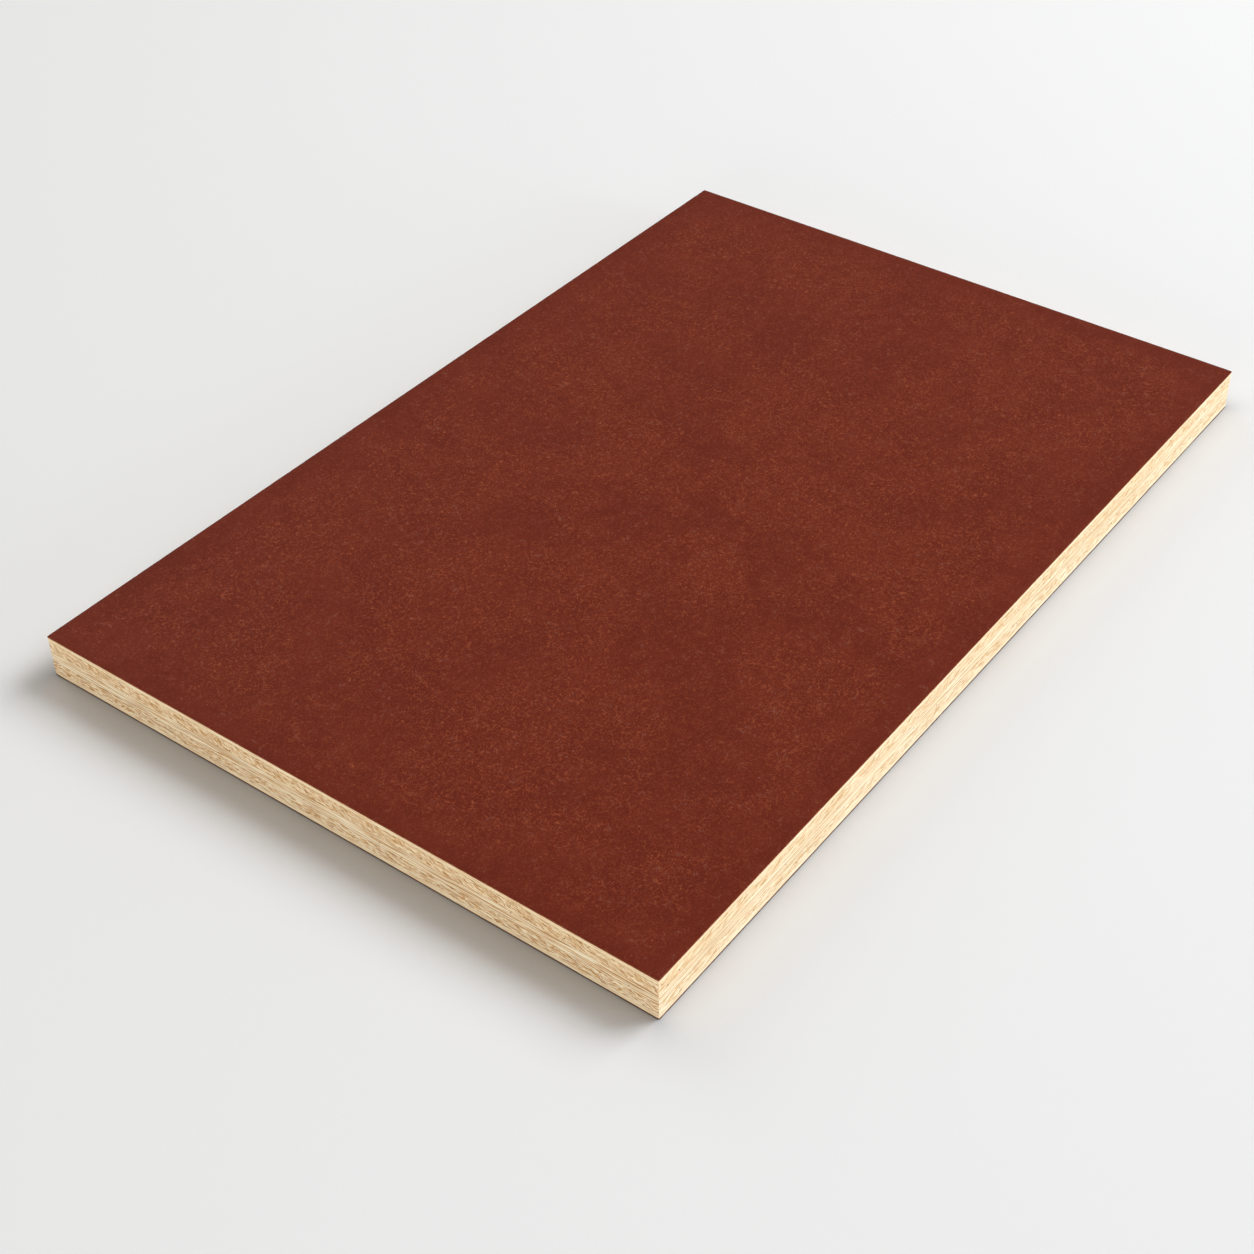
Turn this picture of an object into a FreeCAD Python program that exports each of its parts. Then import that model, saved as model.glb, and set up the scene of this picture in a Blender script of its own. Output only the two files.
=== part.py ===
"""Phenolic laminate sheet: a flat board sawn square on all four sides.

A plywood core of eight veneers is faced on both sides with a thin phenolic laminate.
Frame: +X along the length, +Y across the width, +Z up through the thickness, and the
origin at the centre of the underside, so the board lies on Z = 0. Millimetres.
"""

import FreeCAD, Part
import os

# Driving dimensions
board_length = 450.0
board_width = 300.0
laminate_thickness = 0.5
face_veneer_thickness = 2.0
cross_veneer_thickness = 2.5
centre_veneer_thickness = 2.5


def half_stack():
    """The layers of one half of the board as (name, thickness), from the middle outwards.

    The grain runs along the length in the centre and face veneers and across it in the
    two cross veneers, which are glued together as one layer.
    """
    return [
        ("centre_veneer", centre_veneer_thickness),
        ("inner_cross_veneer", cross_veneer_thickness),
        ("outer_cross_veneer", cross_veneer_thickness),
        ("face_veneer", face_veneer_thickness),
        ("laminate", laminate_thickness),
    ]


def full_stack():
    """All layers from the underside up: the upper half mirrors the lower, so the board stays flat."""
    lower = [(f"lower_{name}", thickness) for name, thickness in reversed(half_stack())]
    upper = [(f"upper_{name}", thickness) for name, thickness in half_stack()]
    return lower + upper


def sheet(thickness, underside_height):
    """One layer at the board's full length and width, lying at the given height."""
    corner = FreeCAD.Vector(-board_length / 2, -board_width / 2, underside_height)
    return Part.makeBox(board_length, board_width, thickness, corner)


def build_board():
    """Lays the layers face to face from Z = 0 up, and returns them as {name: solid}."""
    solids = {}
    height = 0.0
    for name, thickness in full_stack():
        solids[name] = sheet(thickness, height)
        height += thickness
    return solids


def main():
    os.makedirs("parts", exist_ok=True)
    for name, solid in build_board().items():
        solid.exportStep(os.path.join("parts", name + ".step"))
        box = solid.BoundBox
        print(f"{name}: {box.XLength:.1f} x {box.YLength:.1f} mm, Z {box.ZMin:.2f} to {box.ZMax:.2f}")


main()
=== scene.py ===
import math

import bmesh
import bpy
import numpy as np
from mathutils import Matrix, Vector


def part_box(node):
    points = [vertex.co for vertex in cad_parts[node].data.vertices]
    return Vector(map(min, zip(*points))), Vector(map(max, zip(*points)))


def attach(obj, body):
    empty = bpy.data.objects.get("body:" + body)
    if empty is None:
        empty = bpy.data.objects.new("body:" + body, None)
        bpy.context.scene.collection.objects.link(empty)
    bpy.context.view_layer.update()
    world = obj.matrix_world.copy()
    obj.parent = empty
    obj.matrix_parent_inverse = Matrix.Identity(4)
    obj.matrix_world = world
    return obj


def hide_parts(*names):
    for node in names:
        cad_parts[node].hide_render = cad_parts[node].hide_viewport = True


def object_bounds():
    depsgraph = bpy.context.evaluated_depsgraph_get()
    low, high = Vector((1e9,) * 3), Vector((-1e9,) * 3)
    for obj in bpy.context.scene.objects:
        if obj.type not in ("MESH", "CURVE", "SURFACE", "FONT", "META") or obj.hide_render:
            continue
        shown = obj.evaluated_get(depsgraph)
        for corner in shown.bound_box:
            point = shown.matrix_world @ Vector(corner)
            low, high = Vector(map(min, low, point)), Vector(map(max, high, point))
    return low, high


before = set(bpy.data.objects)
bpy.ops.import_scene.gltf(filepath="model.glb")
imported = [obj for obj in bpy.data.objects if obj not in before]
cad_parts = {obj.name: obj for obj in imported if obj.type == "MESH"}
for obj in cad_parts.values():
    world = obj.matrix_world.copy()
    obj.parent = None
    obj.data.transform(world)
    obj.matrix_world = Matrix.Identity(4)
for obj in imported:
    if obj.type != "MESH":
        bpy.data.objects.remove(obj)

cadLow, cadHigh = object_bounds()
millimetre = 0.001
hair = 0.001 * millimetre  # two points nearer than this are one
boardLength = cadHigh.x - cadLow.x
boardWidth = cadHigh.y - cadLow.y
halfLength = boardLength / 2
halfWidth = boardWidth / 2
perimeter = 2 * (boardLength + boardWidth)
scene = bpy.context.scene

# The layers from the underside up. Each visible piece below stands for one of them.
layerKinds = {
    "lower_laminate": "phenolic_laminate",
    "lower_face_veneer": "face_veneer",
    "lower_outer_cross_veneer": "cross_veneer",
    "lower_inner_cross_veneer": "cross_veneer",
    "lower_centre_veneer": "centre_veneer",
    "upper_centre_veneer": "centre_veneer",
    "upper_inner_cross_veneer": "cross_veneer",
    "upper_outer_cross_veneer": "cross_veneer",
    "upper_face_veneer": "face_veneer",
    "upper_laminate": "phenolic_laminate",
}
layerNames = list(layerKinds)

# Where the random numbers of each kind start. A layer adds its own number, counted from the underside.
seeds = {"tears": 0, "step": 5, "sawMarks": 31, "sway": 50, "glueLine": 70, "chips": 90, "arris": 95}

outline = {
    "pitch": 0.6 * millimetre,  # step between columns round the sawn edge
    "cornerWear": 0.10 * millimetre,  # how far the four upright corners are rubbed back
    "cornerReach": 0.7 * millimetre,
    "leastWear": 0.6,  # a layer's corners have this share of the wear, plus up to unevenWear
    "unevenWear": 0.8,
}


def walkOutline():
    # Walks round the plan from the +X +Y corner, first towards -X. A side of length s is cut into
    # s / pitch equal steps, so that a column stands on each corner. Returns for each column its
    # x, y, the distance walked, and the distance to the nearest corner.
    corners = np.array([(1, 1), (-1, 1), (-1, -1), (1, -1)]) * (halfLength, halfWidth)
    places = []
    toCorner = []
    for start, end in zip(corners, np.roll(corners, -1, axis=0)):
        length = np.linalg.norm(end - start)
        share = np.arange(round(length / outline["pitch"])) / round(length / outline["pitch"])
        places.append(start + (end - start) * share[:, None])
        toCorner.append(length * np.minimum(share, 1 - share))
    x, y = np.concatenate(places).T
    walked = perimeter * np.arange(len(x)) / len(x)
    return x, y, walked, np.concatenate(toCorner)


columnX, columnY, walked, toCorner = walkOutline()
columns = len(walked)
sideStarts = np.searchsorted(walked, np.cumsum([0, boardLength, boardWidth, boardLength]) - hair)
sideOfColumn = np.searchsorted(sideStarts, np.arange(columns), side="right") - 1
oneRow = np.zeros((1, 1))  # height for noise that is the same all the way up

edgeNoise = {
    "waves": 28,
    "turns": (0.45, 1.6),  # how many of the usual wavelengths one wave fits into, least and most
}


def closedNoise(seed, height, along, up):
    # A sum of sine waves of random phase over the sawn edge, with a spread of about 1. Each wave goes
    # round the outline a whole number of times, so the noise has no seam. along and up are the usual
    # wavelengths in metres, and height holds one height for each row of the surface.
    waves = edgeNoise["waves"]
    random = np.random.default_rng(seed)
    turns = np.round(perimeter / along * random.uniform(*edgeNoise["turns"], waves))
    rises = random.normal(0, 1 / up, waves)
    phases = random.uniform(0, 1, waves)
    total = np.zeros(np.broadcast_shapes(height.shape, walked.shape))
    for turn, rise, phase in zip(turns, rises, phases):
        total += np.sin(2 * math.pi * (turn * walked / perimeter + rise * height + phase))
    return total / math.sqrt(waves / 2)


def smoothStep(value, low, high):
    # 0 below low, 1 above high, and a cubic with level ends between them.
    share = np.clip((value - low) / (high - low), 0, 1)
    return share * share * (3 - 2 * share)


gluing = {
    "waviness": 0.10 * millimetre,  # how far a glue line wanders up and down
    "wavelength": 22 * millimetre,
    "fade": 9 * millimetre,  # the wander dies away this far into the board
}


def glueLineWander(level):
    # How far the joint under layer number level lies off its nominal height, for each column. The
    # joints of the laminates stay flat, and so do the board's two faces.
    if level < 2 or level > len(layerNames) - 2:
        return np.zeros(columns)
    wander = closedNoise(seeds["glueLine"] + level, oneRow, gluing["wavelength"], 1.0)[0]
    return gluing["waviness"] * wander


sawnEdge = {
    "step": 0.05 * millimetre,  # how far one veneer may stand back behind the next
    "groove": 0.07 * millimetre,  # depth of the glue line
    "grooveWidth": 0.16 * millimetre,
    "sawMark": 0.008 * millimetre,
    "sawPitch": 2.6 * millimetre,
    "sawLean": 3.0,  # a mark moves on by one pitch over this many pitches of height
    "sawFade": 90 * millimetre,  # the marks come and go over this length
    "sway": 0.02 * millimetre,  # slow unevenness along the cut
    "swayLength": 45 * millimetre,
    "tearing": (0.2, 1.6),  # noise at which a tear begins and at which it has its full depth
}

# Torn grain for each kind of veneer: depth, then the lengths of a tear along and up the edge.
tornGrain = {
    "face_veneer": {"depth": 0.02 * millimetre, "along": 7.0 * millimetre, "up": 0.9 * millimetre},
    "cross_veneer": {"depth": 0.07 * millimetre, "along": 2.4 * millimetre, "up": 1.1 * millimetre},
    "centre_veneer": {"depth": 0.045 * millimetre, "along": 11.0 * millimetre, "up": 0.7 * millimetre},
}


def sawMarks(height):
    # Fine arcs left by the blade: a ripple round the outline that leans with height.
    lean = height / (sawnEdge["sawLean"] * sawnEdge["sawPitch"])
    ripple = np.sin(2 * math.pi * (walked / sawnEdge["sawPitch"] + lean))
    strength = 0.5 + 0.5 * closedNoise(seeds["sawMarks"], oneRow, sawnEdge["sawFade"], 1.0)
    return sawnEdge["sawMark"] * (1 + ripple * np.clip(strength, 0, 1))


def cornerWear(level):
    # A rounded loss at the upright corners, e to the minus (distance / reach) squared, uneven by layer.
    share = outline["leastWear"] + outline["unevenWear"] * np.random.default_rng(level).random()
    return outline["cornerWear"] * share * np.exp(-((toCorner / outline["cornerReach"]) ** 2))


def layerSurface(low, high, lowWander, highWander, share, rise, inset):
    # The whole skin of one layer as a grid of rows and columns. Rows run from the middle of the
    # underside out to the rim (share 1 to 0), up the sawn edge (rise 0 to 1) and back to the middle of
    # the upper face (share 0 to 1). A point is the outline's point moved into the rectangle that is
    # smaller by its inset, then moved by its share towards the ridge in the middle of the board.
    share = np.asarray(share)[:, None]
    rise = np.asarray(rise)[:, None]
    x = np.clip(columnX, inset - halfLength, halfLength - inset)
    y = np.clip(columnY, inset - halfWidth, halfWidth - inset)
    ridgeX = np.clip(columnX, halfWidth - halfLength, halfLength - halfWidth)
    fade = np.exp(-share * halfWidth / gluing["fade"])
    bottom = low + lowWander * fade
    top = high + highWander * fade
    return np.stack([x + (ridgeX - x) * share, y * (1 - share), bottom + (top - bottom) * rise], axis=-1)


# The map laid out for storing a finish: the underside at the bottom, the sawn edge between, the upper
# face at the top. The rest are shares of the map's height.
bakeMap = {
    "strips": 20,  # the sawn edge is cut into this many strips, one above the other
    "gap": 0.10,  # part of a strip's height left empty
    "margin": 0.01,  # between the edge and each face
    "hiddenFace": 0.04,
    "shownFace": 0.78,
}
sharpAngle = math.radians(38)  # edges that turn by more than this look sharp
betweenSides = 2.0  # metres from one side to the next along alongEdge, more than any side's length


def edgeStrips(rowShare, low, high):
    # Where each corner of the side faces lies on the unit square: strip number plus height within it.
    # The map's part from low to high is for the sawn edge.
    perStrip = columns / bakeMap["strips"]
    column = np.arange(columns)[None, :, None] + np.array([0, 1, 1, 0])
    strip = (np.arange(columns) // perStrip)[None, :, None]
    across = column / perStrip - strip
    within = bakeMap["gap"] / 2 + (1 - bakeMap["gap"]) * rowShare
    up = low + (high - low) * (strip + within) / bakeMap["strips"]
    return np.stack(np.broadcast_arrays(across, up), axis=-1)


def makeLayer(name, points, rise, sideRows, faceRoom):
    # Puts a grid of rows and columns into a mesh with two maps: alongEdge, in metres along and up the
    # edge, which the wood's figure follows, and OFBake, the unit square laid out for storing the finish.
    # The attribute rise is 0 at the layer's underside and 1 at its upper face.
    rows = len(points)
    strips = np.arange(rows - 1)[:, None]
    column = np.arange(columns)[None, :]
    after = (column + 1) % columns
    corner = np.stack(
        [strips * columns + column, strips * columns + after,
         (strips + 1) * columns + after, (strips + 1) * columns + column], axis=-1)
    place = points.reshape(-1, 3)[corner]

    # Distance from the corners at -X -Y and +X +Y, plus betweenSides for each side, so that the figure
    # leans away from those corners on both sides and no two sides are alike.
    sideLength = np.array([boardLength, boardWidth, boardLength, boardWidth])[sideOfColumn]
    start = walked[sideStarts][sideOfColumn]
    step = perimeter / columns
    run = (walked - start)[:, None] + step * np.array([0, 1, 1, 0])
    towards = np.isin(sideOfColumn, (1, 3))[:, None]
    run = np.where(towards, sideLength[:, None] - run, run) + betweenSides * sideOfColumn[:, None]
    alongEdge = np.stack([np.broadcast_to(run, place.shape[:3]), place[..., 2]], axis=-1)

    firstSide = sideRows.start
    lastSide = sideRows.stop - 1
    isSide = (strips[:, 0] >= firstSide) & (strips[:, 0] < lastSide)
    flat = (place[..., :2] + (halfLength, halfWidth)) / (boardLength, boardWidth)
    lowRoom, highRoom = faceRoom
    stored = np.empty((*place.shape[:3], 2))
    under = strips[:, 0] < firstSide
    over = strips[:, 0] >= lastSide
    stored[under] = flat[under] * (1, lowRoom)
    stored[over] = flat[over] * (1, highRoom) + (0, 1 - highRoom)
    rowShare = (strips - firstSide)[isSide][..., None] + np.array([0, 0, 1, 1])
    rowShare = rowShare / (lastSide - firstSide)
    margin = bakeMap["margin"]
    stored[isSide] = edgeStrips(rowShare, lowRoom + margin, 1 - margin - highRoom)

    mesh = bpy.data.meshes.new(name)
    faces = corner.reshape(-1, 4)
    mesh.vertices.add(rows * columns)
    mesh.vertices.foreach_set("co", points.astype(np.float32).ravel())
    mesh.loops.add(faces.size)
    mesh.loops.foreach_set("vertex_index", faces.astype(np.int32).ravel())
    mesh.polygons.add(len(faces))
    mesh.polygons.foreach_set("loop_start", np.arange(0, faces.size, 4, dtype=np.int32))
    mesh.polygons.foreach_set("material_index", np.repeat(isSide, columns).astype(np.int32))
    mesh.update(calc_edges=True)
    risen = mesh.attributes.new("rise", "FLOAT", "POINT")
    risen.data.foreach_set("value", np.repeat(rise, columns).astype(np.float32))
    for mapName, values in (("alongEdge", alongEdge), ("OFBake", stored)):
        layer = mesh.uv_layers.new(name=mapName, do_init=False)
        layer.uv.foreach_set("vector", values.astype(np.float32).ravel())

    built = bmesh.new()
    built.from_mesh(mesh)
    bmesh.ops.remove_doubles(built, verts=built.verts, dist=hair)  # closes the ridge in the middle
    built.to_mesh(mesh)
    built.free()
    mesh.shade_smooth()
    mesh.set_sharp_from_angle(angle=sharpAngle)
    piece = bpy.data.objects.new(name, mesh)
    scene.collection.objects.link(piece)
    return piece


veneerRows = {
    "faceShares": [1.0, 0.3, 0.04],  # rows on the hidden faces, as shares of the way to the ridge
    "inner": 6,  # rows between the two glue grooves
}


def makeVeneer(node):
    # One veneer: a closed slab whose sawn edge has a groove at each glue line, torn grain, saw marks,
    # a small step of its own and worn corners, all cut inwards from the nominal size.
    level = layerNames.index(node)
    kind = layerKinds[node]
    low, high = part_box(node)
    thickness = high.z - low.z
    lip = sawnEdge["grooveWidth"] / thickness
    edgeRise = np.concatenate([[0], np.linspace(lip, 1 - lip, veneerRows["inner"]), [1]])
    faceShares = np.array(veneerRows["faceShares"])
    share = np.concatenate([faceShares, np.zeros(len(edgeRise)), faceShares[::-1]])
    rise = np.concatenate([np.zeros(len(faceShares)), edgeRise, np.ones(len(faceShares))])
    height = (low.z + thickness * rise)[:, None]
    torn = tornGrain[kind]
    grain = closedNoise(seeds["tears"] + level, height, torn["along"], torn["up"])
    grain = smoothStep(grain, *sawnEdge["tearing"])
    groove = smoothStep(np.abs(rise - 0.5)[:, None], 0.5 - lip, 0.5)
    sway = 1 + 0.5 * closedNoise(seeds["sway"] + level, oneRow, sawnEdge["swayLength"], 1.0)
    step = sawnEdge["step"] * np.random.default_rng(seeds["step"] + level).random()
    inset = step + sawnEdge["groove"] * groove + torn["depth"] * grain + sawMarks(height)
    inset = np.clip(inset + sawnEdge["sway"] * sway + cornerWear(level), 0, None)
    points = layerSurface(
        low.z, high.z, glueLineWander(level), glueLineWander(level + 1), share, rise, inset)
    sideRows = range(len(faceShares), len(faceShares) + len(edgeRise))
    faceRoom = (bakeMap["hiddenFace"], bakeMap["hiddenFace"])
    return makeLayer(node + "_sawn", points, rise, sideRows, faceRoom)


laminateEdge = {
    "arris": 0.07 * millimetre,  # radius rubbed off the outer arris
    "arrisRows": 4,
    "arrisUneven": 0.3,
    "arrisLength": 20 * millimetre,  # over which the rubbing changes
    "gluedRows": [0, 0.4],  # rise of the rows below the arris, from the glued side
    "chipDepth": 0.10 * millimetre,
    "chipLength": 5 * millimetre,
    "chipHeight": 4 * millimetre,
    "chipping": (1.5, 2.6),  # noise at which a chip begins and at which it has its full depth
    "faceShares": [1.0, 0.6, 0.25, 0.08, 0.015],  # rows on the faces, as in veneerRows
}


def makeLaminate(node):
    # One phenolic laminate: a flat slab with a rounded outer arris, small chips along it, and a thin
    # sawn edge. The outer face is the one away from the core.
    level = layerNames.index(node)
    low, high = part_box(node)
    thickness = high.z - low.z
    outerIsTop = level > 0
    arris = laminateEdge["arris"] / thickness
    glued = laminateEdge["gluedRows"]
    # The rim's section from the glued side to the outer face: rise as a share of the thickness, and
    # inset in arris radii, a quarter circle.
    turn = np.linspace(0, math.pi / 2, laminateEdge["arrisRows"])
    edgeRise = np.concatenate([glued, 1 - arris * (1 - np.sin(turn))])
    rounding = np.concatenate([np.zeros(len(glued)), 1 - np.cos(turn)])
    if not outerIsTop:
        edgeRise = 1 - edgeRise[::-1]
        rounding = rounding[::-1]
    faceShares = np.array(laminateEdge["faceShares"])
    count = len(faceShares)
    share = np.concatenate([faceShares, np.zeros(len(edgeRise)), faceShares[::-1]])
    rise = np.concatenate([np.zeros(count), edgeRise, np.ones(count)])
    rounding = np.pad(rounding, count, mode="edge")[:, None]
    height = (low.z + thickness * rise)[:, None]
    chipSeed = seeds["chips"] + level
    chip = closedNoise(chipSeed, height, laminateEdge["chipLength"], laminateEdge["chipHeight"])
    chip = smoothStep(chip, *laminateEdge["chipping"])
    outer = np.abs(rise if outerIsTop else 1 - rise)[:, None]
    rubbing = closedNoise(seeds["arris"] + level, height, laminateEdge["arrisLength"], 1.0)
    inset = laminateEdge["arris"] * rounding * (1 + laminateEdge["arrisUneven"] * rubbing)
    inset = inset + laminateEdge["chipDepth"] * chip * outer + sawMarks(height) + cornerWear(level)
    inset = np.clip(inset, 0, None)
    points = layerSurface(
        low.z, high.z, glueLineWander(level), glueLineWander(level + 1), share, rise, inset)
    faceRoom = (bakeMap["hiddenFace"], bakeMap["shownFace"])
    if not outerIsTop:
        faceRoom = faceRoom[::-1]
    return makeLayer(node + "_pressed", points, rise, range(count, count + len(edgeRise)), faceRoom)


class Wire:
    # One output socket in a node tree. A sum, difference, product or quotient of wires and numbers adds
    # a Math node, and node() adds any other node: its type, its settings, its sockets' values or links.
    def __init__(self, tree, socket=None):
        self.tree = tree
        self.socket = socket

    def node(self, kind, settings=None, sockets=None, output=0):
        made = self.tree.nodes.new("ShaderNode" + kind)
        for name, value in (settings or {}).items():
            setattr(made, name, value)
        for name, value in (sockets or {}).items():
            if isinstance(value, Wire):
                self.tree.links.new(value.socket, made.inputs[name])
            else:
                made.inputs[name].default_value = value
        return Wire(self.tree, made.outputs[output] if made.outputs else None)

    def other(self, output):
        return Wire(self.tree, self.socket.node.outputs[output])

    def math(self, operation, *values):
        return self.node("Math", {"operation": operation}, dict(enumerate((self, *values))))

    def __add__(self, value):
        return self.math("ADD", value)

    def __sub__(self, value):
        return self.math("SUBTRACT", value)

    def __rsub__(self, value):
        return self.math("MULTIPLY_ADD", -1.0, value)

    def __mul__(self, value):
        return self.math("MULTIPLY", value)

    def __truediv__(self, value):
        return self.math("DIVIDE", value)

    def __abs__(self):
        return self.math("ABSOLUTE")

    __radd__ = __add__
    __rmul__ = __mul__


def mixColour(factor, first, second):
    # The first colour where the factor is 0, the second where it is 1. A Mix node's colour sockets are
    # numbers 6 and 7, and its colour output is number 2.
    first, second = [(*c, 1.0) if isinstance(c, tuple) else c for c in (first, second)]
    return factor.node("Mix", {"data_type": "RGBA"}, {0: factor, 6: first, 7: second}, output=2)


def between(value, low, high):
    # 0 where value is under low, 1 where it is over high, smooth between.
    sockets = {"Value": value, "From Min": low, "From Max": high}
    return value.node("MapRange", {"interpolation_type": "SMOOTHSTEP"}, sockets)


def joinPlace(x, y, z=0.0):
    wire = x if isinstance(x, Wire) else y
    return wire.node("CombineXYZ", None, {0: x, 1: y, 2: z})


def noise(place, size, detail=2.0, roughness=0.5):
    # Cloudy noise from 0 to 1 whose features are about size across, in the units of place.
    sockets = {"Vector": place, "Scale": 1 / size, "Detail": detail, "Roughness": roughness}
    return place.node("TexNoise", {"noise_dimensions": "3D"}, sockets)


def newMaterial(name):
    material = bpy.data.materials.new(name)
    material.use_nodes = True
    material.node_tree.nodes.clear()
    return material, Wire(material.node_tree)


def finishMaterial(wire, sockets):
    shader = wire.node("BsdfPrincipled", None, sockets)
    wire.node("OutputMaterial", None, {"Surface": shader})


def addBump(height, strength, depth):
    return height.node("Bump", None, {"Height": height, "Strength": strength, "Distance": depth})


def inMillimetres(place):
    return place.node("VectorMath", {"operation": "SCALE"}, {0: place, "Scale": 1 / millimetre})


woodTones = {
    "base": (0.94, 0.695, 0.405),
    "pale": (1.0, 0.90, 0.67),
    "stroke": (0.63, 0.335, 0.115),
    "pore": (0.42, 0.200, 0.068),
    "resin": (1.0, 0.73, 0.43),
    "speck": (0.22, 0.055, 0.025),
}

# The figure that the saw shows in each kind of veneer. A stroke's length and pitch are in millimetres,
# lean is rise over run, curl is how far it bends up and down, and lines is how much regular waves sharpen
# it. The rest are strengths from 0 to 1; even is how pale the wood between the strokes is all over.
figures = {
    "upper_face_veneer": {"length": 9.0, "pitch": 1.2, "lean": 0.0, "curl": 0.15, "lines": 0.10,
                          "dark": 0.3, "pale": 0.8, "even": 0.4, "glue": 0.3},
    "upper_cross_veneer": {"length": 2.8, "pitch": 0.95, "lean": 0.34, "curl": 0.55, "lines": 0.10,
                           "dark": 1.0, "pale": 0.6, "even": 0.0, "glue": 0.7},
    "centre_veneer": {"length": 18.0, "pitch": 1.0, "lean": 0.0, "curl": 0.15, "lines": 0.20,
                      "dark": 0.85, "pale": 1.0, "even": 0.1, "glue": 0.7},
    "lower_cross_veneer": {"length": 3.3, "pitch": 0.85, "lean": 0.10, "curl": 0.42, "lines": 0.12,
                           "dark": 1.0, "pale": 0.9, "even": 0.0, "glue": 0.7},
    "lower_face_veneer": {"length": 8.0, "pitch": 1.1, "lean": 0.0, "curl": 0.25, "lines": 0.10,
                          "dark": 0.3, "pale": 0.9, "even": 0.6, "glue": 0.2},
}

# What all veneers share. Sizes are in millimetres, along and up the edge. Pairs from dark to outermost
# are the values between which a mask goes from 0 to 1: of the figure's line, of the noise that breaks it,
# of the rise from a glue line and of the rise towards a laminate.
sawnWood = {
    "curlSize": (1.5, 2.5),  # the first is a share of the stroke's length
    "curlReach": 5.0,
    "swaySize": (23.0, 8.0),
    "swayReach": 1.6,
    "strokeHeight": 0.55,  # share of the pitch
    "breakSize": (0.8, 0.9),  # shares of the length and the pitch
    "breakShift": 1.2,  # how far a break pushes the regular waves out of line
    "glueUneven": 0.25,
    "strength": 0.8,
    "dark": (0.51, 0.58),
    "deep": (0.57, 0.63),
    "broken": (0.42, 0.54),
    "light": (0.43, 0.51),
    "glued": (0.02, 0.20),
    "outermost": (0.5, 0.85),
    "resinStrength": 0.75,
    "fineSize": (1.0, 0.25),
    "fine": (0.50, 0.72),
    "fineStrength": 0.22,
    "cloudSize": (30.0, 6.0),
    "cloud": (0.40, 0.70),
    "cloudStrength": 0.10,
    "speckSpacing": 3.4,
    "speck": (0.05, 0.13),  # radius, in spacings
    "rare": (0.93, 0.95),  # only one place in about twenty has a speck
    "longSideStretch": 0.62,  # the figure on the long sides is drawn out by 1 / this
    "longSideDepth": 0.55,  # and this dark
    "roughness": (0.62, 0.2),  # of the plain wood, and what a dark stroke adds
    "gloss": 0.15,
    "bump": (0.4, 0.6, 0.3),  # how far light wood stands up, and dark and fine strokes lie deeper
    "bumpStrength": 0.6,
    "bumpDepth": 0.15 * millimetre,
}


def streaks(along, up, length, height, pattern=0.0, detail=1.0, roughness=0.5):
    # Noise drawn out to a length along the edge and a height up it. Each value of pattern is another one.
    return noise(joinPlace(along / length, up / height, pattern), 1.0, detail, roughness)


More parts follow.
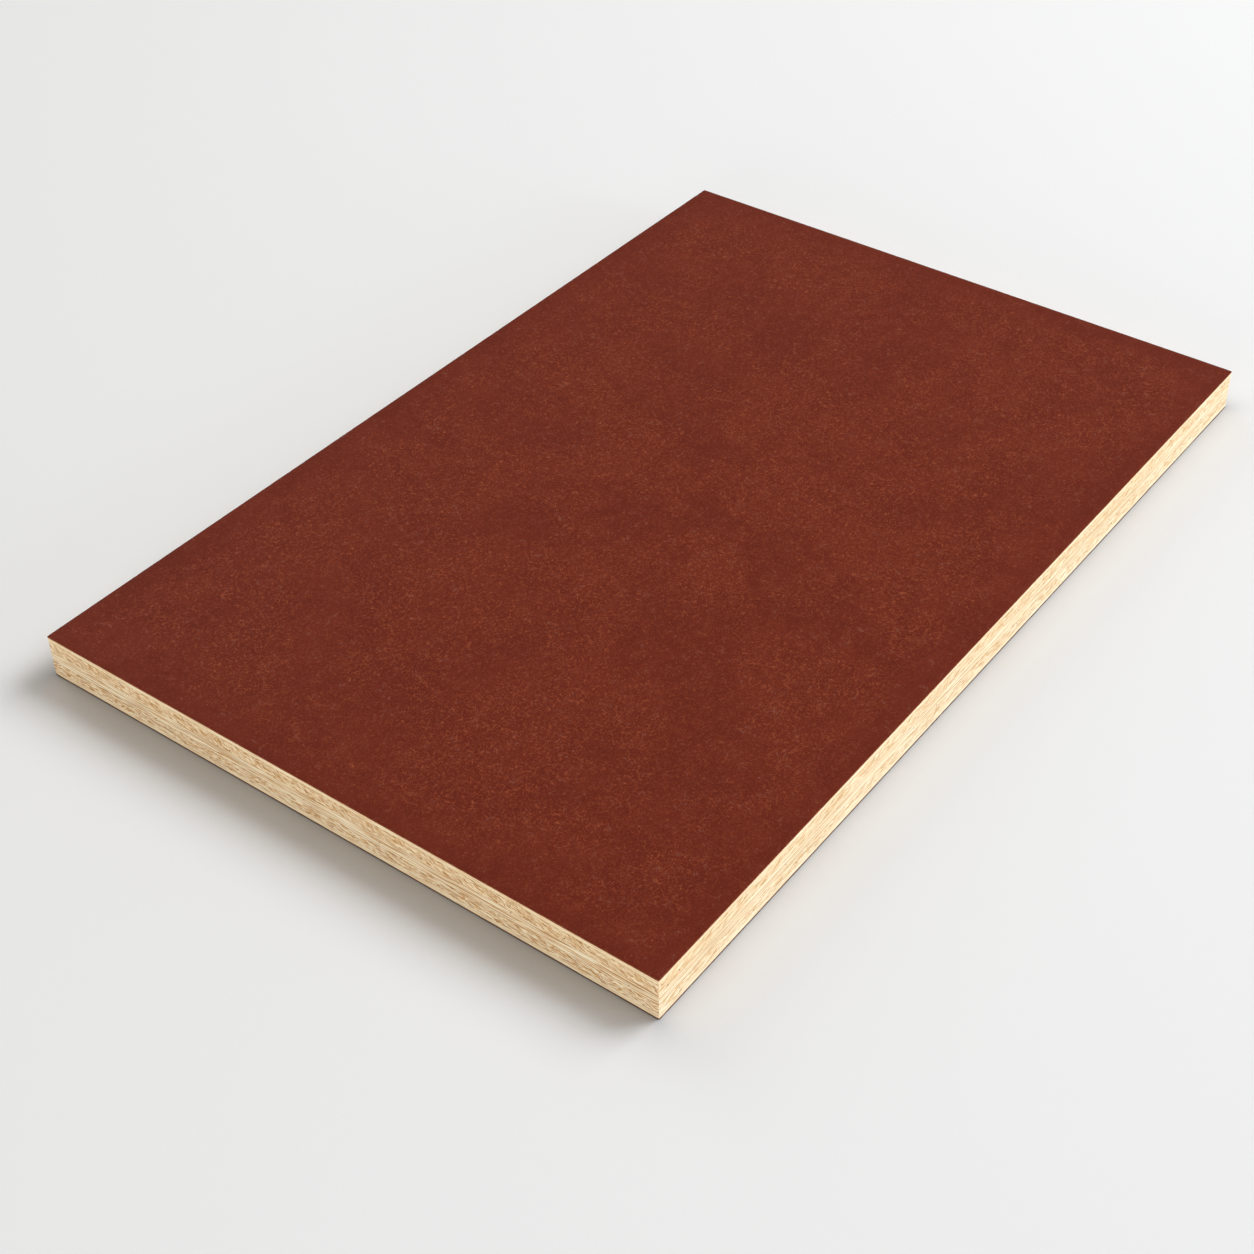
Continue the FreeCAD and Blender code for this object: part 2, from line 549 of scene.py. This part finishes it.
def makeWood(name, figure):
    # Sawn veneer. The strokes are stretched noise over a plane that leans and curls, sharpened by
    # waves of the same lean, with a paler set between them, fine pores and sparse red-brown specks.
    # Glue darkens the joints between veneers, and resin warms the face veneers beside the laminates.
    material, wire = newMaterial(name)
    place = inMillimetres(wire.node("UVMap", {"uv_map": "alongEdge"}))
    along = place.node("SeparateXYZ", None, {0: place})
    up = along.other("Y")
    length = figure["length"]
    pitch = figure["pitch"]

    # Every second side along the map is a short one. The long ones show longer and softer strokes.
    sidePair = along * (millimetre / (2 * betweenSides)) + 0.1
    shortSide = between(sidePair.math("FRACT"), 0.35, 0.45)
    stretch = sawnWood["longSideStretch"]
    along = along * (stretch + (1 - stretch) * shortSide)
    shallow = sawnWood["longSideDepth"]
    depth = (shallow + (1 - shallow) * shortSide) * (sawnWood["strength"] * figure["dark"])

    curlLength, curlHeight = sawnWood["curlSize"]
    curl = streaks(along, up, curlLength * length, curlHeight) - 0.5
    sway = streaks(along, up, *sawnWood["swaySize"]) - 0.5
    slanted = up - along * figure["lean"] + curl * (sawnWood["curlReach"] * figure["curl"])
    slanted = slanted + sway * sawnWood["swayReach"]
    strokes = streaks(along, slanted, length, sawnWood["strokeHeight"] * pitch, 3.7)
    breakLength, breakHeight = sawnWood["breakSize"]
    breaks = streaks(along, slanted, breakLength * length, breakHeight * pitch, 9.1)
    waves = ((slanted + breaks * sawnWood["breakShift"]) * (2 * math.pi / pitch)).math("SINE")
    line = strokes + figure["lines"] * waves
    fine = streaks(along, up, *sawnWood["fineSize"], 0.0, 2.0, 0.6)
    cloud = streaks(along, up, *sawnWood["cloudSize"], 0.0, 2.0)
    rise = wire.node("Attribute", {"attribute_name": "rise"}, None, output="Fac")
    toGlue = 0.5 - abs(rise - 0.5) + sawnWood["glueUneven"] * (breaks - 0.5)

    dark = between(line, *sawnWood["dark"])
    deep = between(line, *sawnWood["deep"]) * between(breaks, *sawnWood["broken"])
    light = 1 - between(line, *sawnWood["light"])
    glued = 1 - between(toGlue, *sawnWood["glued"])
    fineLines = between(fine, *sawnWood["fine"]) * sawnWood["fineStrength"]
    clouds = between(cloud, *sawnWood["cloud"]) * sawnWood["cloudStrength"]
    paleness = (figure["even"] + (1 - figure["even"]) * light) * figure["pale"]
    colour = mixColour(paleness, woodTones["base"], woodTones["pale"])
    colour = mixColour(dark * depth, colour, woodTones["stroke"])
    colour = mixColour(deep * depth, colour, woodTones["pore"])
    colour = mixColour(glued * (0.5 * figure["glue"]), colour, woodTones["stroke"])
    colour = mixColour(fineLines, colour, woodTones["stroke"])
    colour = mixColour(clouds, colour, woodTones["stroke"])

    if name.endswith("face_veneer"):
        outward = rise if name.startswith("upper") else 1 - rise
        warmth = between(outward, *sawnWood["outermost"]) * sawnWood["resinStrength"]
        colour = mixColour(warmth, colour, woodTones["resin"])

    sockets = {"Vector": place, "Scale": 1 / sawnWood["speckSpacing"]}
    spot = place.node("TexVoronoi", {"voronoi_dimensions": "2D"}, sockets)
    chance = place.node("SeparateXYZ", None, {0: spot.other("Color")})
    speck = (1 - between(spot, *sawnWood["speck"])) * between(chance, *sawnWood["rare"])
    colour = mixColour(speck * figure["dark"], colour, woodTones["speck"])

    lightUp, darkDown, fineDown = sawnWood["bump"]
    height = light * lightUp - dark * darkDown - fine * fineDown
    plain, darker = sawnWood["roughness"]
    finishMaterial(wire, {
        "Base Color": colour,
        "Roughness": plain + darker * dark,
        "Specular IOR Level": sawnWood["gloss"],
        "Normal": addBump(height, sawnWood["bumpStrength"], sawnWood["bumpDepth"]),
    })
    return material


phenolic = {
    "dark": (0.132, 0.0188, 0.0094),
    "base": (0.153, 0.0230, 0.0112),
    "light": (0.180, 0.0315, 0.0153),
    "fibre": (0.330, 0.0780, 0.0320),
    "greyFibre": (0.260, 0.1000, 0.0680),
    "cloudSize": 26.0,  # sizes are in millimetres
    "patchSize": 7.0,
    "gritSize": 0.62,
    "grit": (0.50, 0.72),  # pairs are the values between which a mask goes from 0 to 1
    "gritStrength": 0.7,
    "fibres": [(1.9, 0.050, 0.0), (2.8, 0.034, 17.0), (1.3, 0.065, 41.0)],  # size, width, shift
    "fibreStrength": 0.5,
    "greyFibres": (2.1, 0.045, 63.0),
    "greyFibreStrength": 0.45,
    "thinning": 30.0,  # size of the places where fewer fibres show
    "leastShowing": 0.55,  # share of the fibres that show there
    "leastAtEdge": 0.4,  # and at the board's edge
    "edgeShade": 12.0,  # the face is a little darker this near its edge
    "edgeStrength": 0.22,
    "toBase": (0.36, 0.58),  # from dark to base, by the clouds and patches
    "toLight": (0.50, 0.70),
    "lightStrength": 0.3,
    "greyPlaces": (0.45, 0.60),
    "thickPlaces": (0.38, 0.55),
    "roughness": 0.47,
    "gloss": 0.03,
    "bumpStrength": 0.2,
    "bumpDepth": 0.05 * millimetre,
}


# Colours of the laminates' sawn edges: two for the paper plies, then one for flecks. The lower laminate's
# dark grey-brown plies are partly its own colour and partly painted shade where it meets the floor; its
# red flecks are its own.
edgeColoursAndShade = {
    "upper_laminate": ((0.153, 0.0230, 0.0110), (0.420, 0.150, 0.055), (0.420, 0.150, 0.055)),
    "lower_laminate": ((0.060, 0.0320, 0.0200), (0.095, 0.0500, 0.0320), (0.250, 0.0450, 0.0200)),
}

# Sizes are in millimetres, and pairs are the values between which a mask goes from 0 to 1.
laminateCut = {
    "plyHeight": 0.09,
    "plies": (0.4, 0.6),
    "plyStrength": 0.5,
    "fleckSize": 1.6,
    "flecks": (0.48, 0.70),
    "fleckStrength": 0.6,
    "roughness": (0.65, 0.2),  # of the resin, and what a fleck adds
    "gloss": 0.12,
    "bumpStrength": 0.4,
    "bumpDepth": 0.06 * millimetre,
}


def fibreLayer(place, size, width, shift):
    # Short curved strands: the lines along which a smooth noise passes through its middle value, cut
    # into lengths by another noise.
    moved = place.node("VectorMath", {"operation": "ADD"}, {0: place, 1: (shift, 1.7 * shift, shift)})
    line = 1 - between(abs(noise(moved, size, 0.5) - 0.5), 0.0, width)
    cut = between(noise(moved, 0.8 * size, 1.0, 0.7), 0.47, 0.55)
    return line * cut


def makePhenolic():
    # The pressed face: red-brown resin with slow clouds, smaller patches, paper fibres that show as
    # short lighter strands, fine grit, and a satin gloss that varies with the fibres.
    material, wire = newMaterial("phenolic_laminate")
    place = inMillimetres(wire.node("TexCoord", None, None, output="Object"))
    cloud = noise(place, phenolic["cloudSize"])
    patch = noise(place, phenolic["patchSize"], 3.0, 0.6)
    grit = noise(place, phenolic["gritSize"], 1.5, 0.6)

    tone = 0.5 * cloud + 0.5 * patch
    lighter = between(tone, *phenolic["toLight"]) * phenolic["lightStrength"]
    colour = mixColour(between(tone, *phenolic["toBase"]), phenolic["dark"], phenolic["base"])
    colour = mixColour(lighter, colour, phenolic["light"])

    fibres = sum(fibreLayer(place, *fibre) for fibre in phenolic["fibres"])
    greyPlaces = between(patch, *phenolic["greyPlaces"])
    greyFibres = fibreLayer(place, *phenolic["greyFibres"]) * greyPlaces
    split = place.node("SeparateXYZ", None, {0: place})
    toEnds = halfLength / millimetre - abs(split)
    toSides = halfWidth / millimetre - abs(split.other("Y"))
    toEdge = toEnds.math("MINIMUM", toSides)
    nearEdge = 1 - between(toEdge, 0.0, phenolic["edgeShade"])
    thick = between(noise(place, phenolic["thinning"]), *phenolic["thickPlaces"])
    least = phenolic["leastShowing"]
    showing = least + (1 - least) * thick
    least = phenolic["leastAtEdge"]
    showing = showing * (least + (1 - least) * between(toEdge, 0.0, 2 * phenolic["edgeShade"]))

    gritStrength = phenolic["gritStrength"]
    fibreStrength = showing * phenolic["fibreStrength"]
    colour = mixColour(between(grit, *phenolic["grit"]) * gritStrength, colour, phenolic["light"])
    colour = mixColour(between(1 - grit, *phenolic["grit"]) * gritStrength, colour, phenolic["dark"])
    colour = mixColour(fibres * fibreStrength, colour, phenolic["fibre"])
    colour = mixColour(greyFibres * phenolic["greyFibreStrength"], colour, phenolic["greyFibre"])
    colour = mixColour(nearEdge * phenolic["edgeStrength"], colour, phenolic["dark"])

    height = 0.5 * grit + 0.5 * fibres
    finishMaterial(wire, {
        "Base Color": colour,
        "Roughness": phenolic["roughness"] + 0.10 * patch - 0.06 * fibres,
        "Specular IOR Level": phenolic["gloss"],
        "Normal": addBump(height, phenolic["bumpStrength"], phenolic["bumpDepth"]),
    })
    return material


def makePhenolicEdge(node):
    # The laminate's sawn edge: resin with thin paper plies, and flecks in the saw marks. On the lower
    # laminate the ply colours also hold painted shade from the floor contact.
    material, wire = newMaterial(node + "_edge")
    place = inMillimetres(wire.node("TexCoord", None, None, output="Object"))
    split = place.node("SeparateXYZ", None, {0: place})
    plies = noise(joinPlace(0.3, split.other("Z") / laminateCut["plyHeight"]), 1.0, 1.0)
    worn = noise(place, laminateCut["fleckSize"], 3.0, 0.6)
    layered = between(plies, *laminateCut["plies"]) * laminateCut["plyStrength"]
    flecked = between(worn, *laminateCut["flecks"]) * laminateCut["fleckStrength"]
    # on the lower laminate, first and second are darkened as painted shade
    first, second, fleck = edgeColoursAndShade[node]
    colour = mixColour(layered, first, second)
    colour = mixColour(flecked, colour, fleck)
    plain, rougher = laminateCut["roughness"]
    finishMaterial(wire, {
        "Base Color": colour,
        "Roughness": plain + rougher * worn,
        "Specular IOR Level": laminateCut["gloss"],
        "Normal": addBump(worn, laminateCut["bumpStrength"], laminateCut["bumpDepth"]),
    })
    return material


def figureOf(node):
    # upper_inner_cross_veneer and upper_outer_cross_veneer share upper_cross_veneer, and both centre
    # veneers share centre_veneer.
    name = node.replace("inner_", "").replace("outer_", "")
    return name if name in figures else "centre_veneer"


woods = {name: makeWood(name, figure) for name, figure in figures.items()}
pressedFace = makePhenolic()
pressedEdges = {node: makePhenolicEdge(node) for node in edgeColoursAndShade}
print("materials made:", ", ".join([*woods, pressedFace.name, *pressedEdges]))

for node, kind in layerKinds.items():
    if kind == "phenolic_laminate":
        piece = makeLaminate(node)
        piece.data.materials.append(pressedFace)
        piece.data.materials.append(pressedEdges[node])
    else:
        piece = makeVeneer(node)
        wood = woods[figureOf(node)]
        piece.data.materials.append(wood)
        piece.data.materials.append(wood)
    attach(piece, "root")
    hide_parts(node)
    print("layer made:", piece.name, len(piece.data.polygons), "faces")


studio = {
    "floorSize": 9.0,
    "floorCells": 32,  # along each side
    "cloudSize": 0.25,  # of the floor's faint unevenness in colour
    "cloudShade": 0.97,
    "cloudStrength": 0.3,
    "floorColour": (0.868, 0.866, 0.864),
    "paintedShadeColour": (0.520, 0.535, 0.560),  # painted shade right beside the board
    "paintedShadeReach": 7.0,  # millimetres over which the painted shade fades
    "skyColour": (1.0, 0.965, 0.925),
    "skyLevel": 0.09,  # straight up
    "horizonLevel": 0.80,
}

# Level is the light that a lamp gives a surface facing it, and direction points from the board to it.
lamps = {
    "keyLamp": {"level": 0.84, "direction": (0.64, -0.35, 0.70), "distance": 4.6, "size": 2.8,
                "colour": (0.98, 1.0, 1.015)},
    "sideLamp": {"level": 0.27, "direction": (0.25, -0.95, 0.16), "distance": 3.0, "size": 0.9,
                 "colour": (0.88, 1.0, 1.18)},
    "fillLamp": {"level": 0.25, "direction": (-0.95, -0.25, 0.16), "distance": 3.0, "size": 0.9,
                 "colour": (1.0, 0.98, 0.95)},
    "backLamp": {"level": 0.19, "direction": (0.30, 0.84, 0.42), "distance": 12.0, "size": 6.0,
                 "colour": (1.0, 0.99, 0.98)},
}


def makeFloor():
    # A square level sheet with painted shade: its colour greys towards the board by e to the power of
    # minus the distance from the outline over the shade's reach, which takes off the glow that the pale
    # edges throw on it.
    half = studio["floorSize"] / 2
    cells = studio["floorCells"]
    row = cells + 1
    u, v = np.meshgrid(np.linspace(-half, half, row), np.linspace(-half, half, row))
    points = np.stack([u.ravel(), v.ravel(), np.zeros(u.size)], axis=-1)
    cell = np.arange(cells)[:, None] * row + np.arange(cells)
    faces = np.stack([cell, cell + 1, cell + row + 1, cell + row], axis=-1).reshape(-1, 4)
    mesh = bpy.data.meshes.new("studioFloor")
    mesh.from_pydata(points.tolist(), [], faces.tolist())
    floor = bpy.data.objects.new("studioFloor", mesh)
    scene.collection.objects.link(floor)
    material, wire = newMaterial("studioFloor")
    place = wire.node("TexCoord", None, None, output="Object")
    cloud = noise(place, studio["cloudSize"])
    shaded = tuple(studio["cloudShade"] * channel for channel in studio["floorColour"])
    tint = mixColour(cloud * studio["cloudStrength"], studio["floorColour"], shaded)
    split = wire.node("SeparateXYZ", None, {0: inMillimetres(place)})
    beyondEnd = (abs(split) - halfLength / millimetre).math("MAXIMUM", 0.0)
    beyondSide = (abs(split.other("Y")) - halfWidth / millimetre).math("MAXIMUM", 0.0)
    away = (beyondEnd * beyondEnd + beyondSide * beyondSide).math("SQRT")
    # painted shade: 1 at the board's outline, falling away from it
    near = (away * (-1 / studio["paintedShadeReach"])).math("EXPONENT")
    tint = mixColour(near, tint, studio["paintedShadeColour"])
    finishMaterial(wire, {"Base Color": tint, "Roughness": 0.85, "Specular IOR Level": 0.1})
    mesh.materials.append(material)
    return floor


def addLamp(name, style):
    # A square soft lamp. Its power is level x (pi x distance) squared, which lights a white surface
    # that faces it to that level.
    lamp = bpy.data.lights.new(name, "AREA")
    lamp.size = style["size"]
    lamp.energy = style["level"] * (math.pi * style["distance"]) ** 2
    lamp.color = style["colour"]
    holder = bpy.data.objects.new(name, lamp)
    towards = Vector(style["direction"]).normalized()
    holder.location = towards * style["distance"]
    holder.rotation_euler = towards.to_track_quat("Z", "Y").to_euler()
    scene.collection.objects.link(holder)


def makeSky():
    # Light from all round, brighter near the horizon: the level is skyLevel plus the difference of
    # horizonLevel and skyLevel times (1 - sine of the elevation).
    world = bpy.data.worlds.new("studioSky")
    world.use_nodes = True
    world.node_tree.nodes.clear()
    wire = Wire(world.node_tree)
    direction = wire.node("TexCoord", None, None, output="Generated")
    sine = wire.node("SeparateXYZ", None, {0: direction}, output="Z").math("MAXIMUM", 0.0)
    level = studio["skyLevel"] + (studio["horizonLevel"] - studio["skyLevel"]) * (1 - sine)
    light = wire.node("Background", None, {"Color": (*studio["skyColour"], 1.0), "Strength": level})
    wire.node("OutputWorld", None, {"Surface": light})
    scene.world = world


makeFloor()
for name, style in lamps.items():
    addLamp(name, style)
makeSky()
scene.view_settings.view_transform = "Standard"
print("studio made")

# Angles are in degrees. At azimuth 0 the camera stands on the -Y side and looks along +Y.
view = {
    "lens": 60.46,
    "azimuth": -53.76,
    "elevation": 38.70,
    "roll": -0.32,
    "distance": 0.8605,
    "aim": (-0.0505, -0.0271),  # the x and y on the upper face that it looks at
    "shift": (-0.0333, -0.0407),
}


def makeCamera():
    azimuth = math.radians(view["azimuth"])
    elevation = math.radians(view["elevation"])
    roll = math.radians(view["roll"])
    flat = math.cos(elevation)
    back = Vector((math.sin(azimuth) * flat, -math.cos(azimuth) * flat, math.sin(elevation)))
    right = Vector((0, 0, 1)).cross(back).normalized()
    up = back.cross(right)
    turnedRight = right * math.cos(roll) + up * math.sin(roll)
    turnedUp = up * math.cos(roll) - right * math.sin(roll)
    camera = bpy.data.cameras.new("camera")
    camera.lens = view["lens"]
    camera.shift_x, camera.shift_y = view["shift"]
    holder = bpy.data.objects.new("camera", camera)
    turned = Matrix((turnedRight, turnedUp, back)).transposed().to_4x4()
    aim = Vector((*view["aim"], cadHigh.z))
    holder.matrix_world = Matrix.Translation(aim + back * view["distance"]) @ turned
    scene.collection.objects.link(holder)
    scene.camera = holder


makeCamera()
print("camera made")
